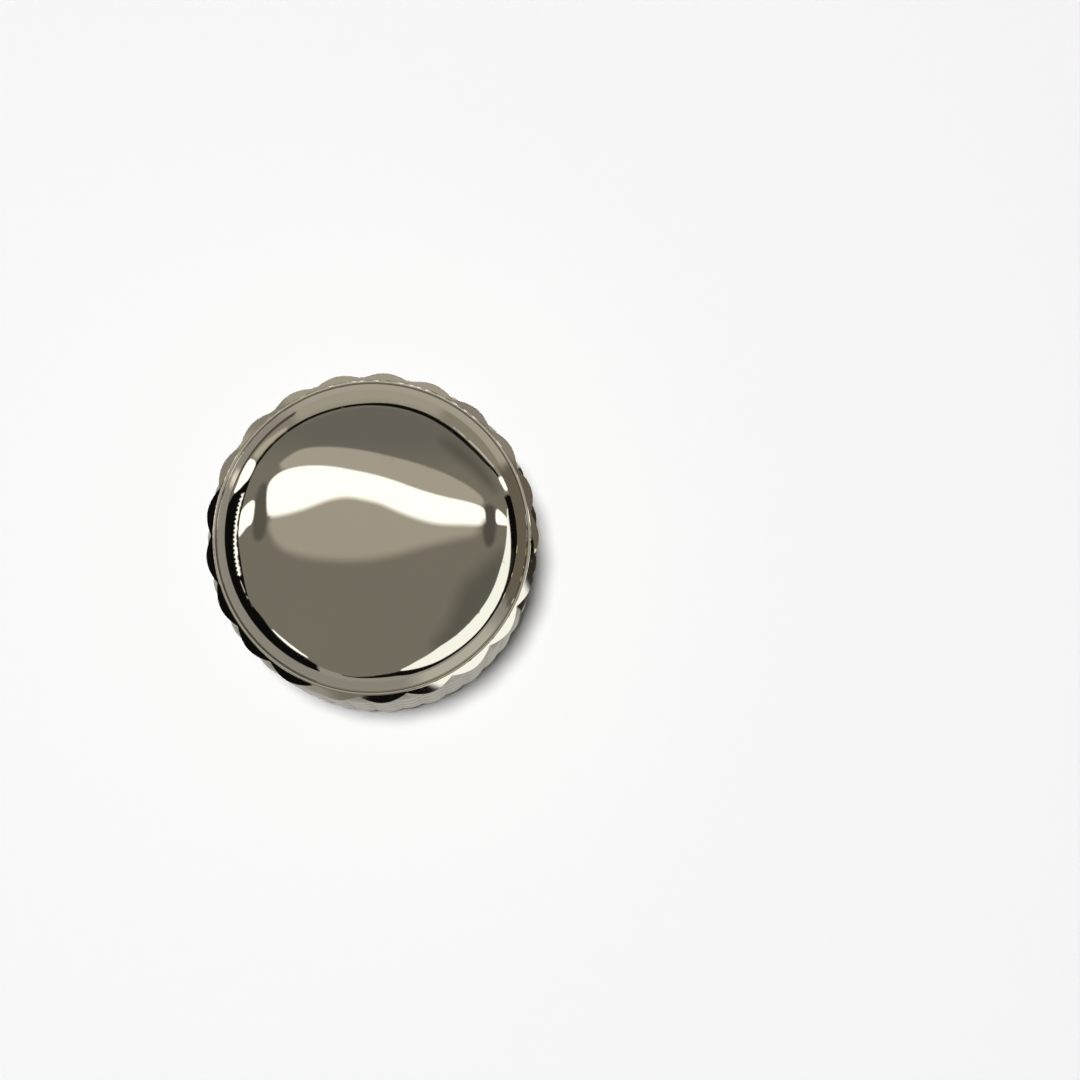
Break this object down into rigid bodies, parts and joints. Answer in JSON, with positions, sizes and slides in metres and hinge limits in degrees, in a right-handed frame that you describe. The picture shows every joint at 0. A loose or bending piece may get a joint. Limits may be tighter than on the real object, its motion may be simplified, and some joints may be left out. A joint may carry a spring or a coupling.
{
  "type": "knurled control knob",
  "caption": "Round metal control knob with a diamond-knurled side and a low domed top, bored underneath for a plain round shaft that a side set screw grips.",
  "frame": {"origin": "centre of the rim's flat face, on the knob's axis", "axes": "+Z along the knob's axis, from the rim up to the dome; +Y along the set screw, from the axis outwards"},
  "size_m": [0.019, 0.019, 0.018],
  "materials": {
    "nickel_plate": "polished nickel plate over turned brass",
    "screw_steel": "plain steel with turned threads"
  },
  "bodies": {
    "root": {"knob_body": "nickel_plate", "set_screw": "screw_steel"}
  },
  "joints": []
}
